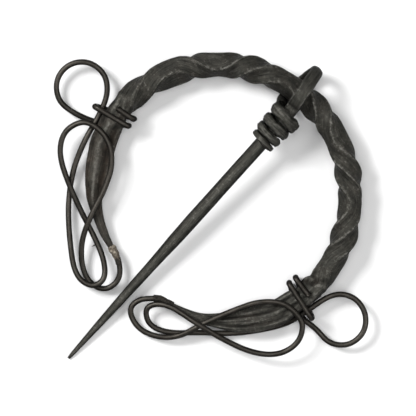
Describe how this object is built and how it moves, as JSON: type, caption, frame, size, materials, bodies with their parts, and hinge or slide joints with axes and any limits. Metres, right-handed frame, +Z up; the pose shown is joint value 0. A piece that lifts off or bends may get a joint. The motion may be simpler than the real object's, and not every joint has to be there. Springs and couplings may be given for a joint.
{
  "type": "penannular brooch",
  "caption": "Open hoop of twisted iron bar with leaf ends, wire scrolls and loops, and a long pin whose strap loops round the hoop.",
  "frame": {"origin": "on the ground under the middle of the brooch's bounding box, as it lies flat on its back", "axes": "+Y along the pin's shaft from its point to its eye, +X to the right seen from the front, +Z up out of the front"},
  "size_m": [0.1074, 0.102, 0.0138],
  "materials": {
    "forged_bar": "forge-blackened and oiled, satin",
    "scroll_wire": "blackened wire, satin",
    "forged_pin": "forge-blackened and oiled, satin"
  },
  "bodies": {
    "hoop_body": {"hoop": "forged_bar", "scroll_wire_left": "scroll_wire", "scroll_wire_right": "scroll_wire"},
    "pin_body": {"pin": "forged_pin"}
  },
  "joints": [
    {"name": "pin_swing", "type": "hinge", "parent": "hoop_body", "child": "pin_body", "pos_m": [-0.00081, 0.04255, 0.00636], "axis": [1, 0, 0], "continuous": true}
  ]
}
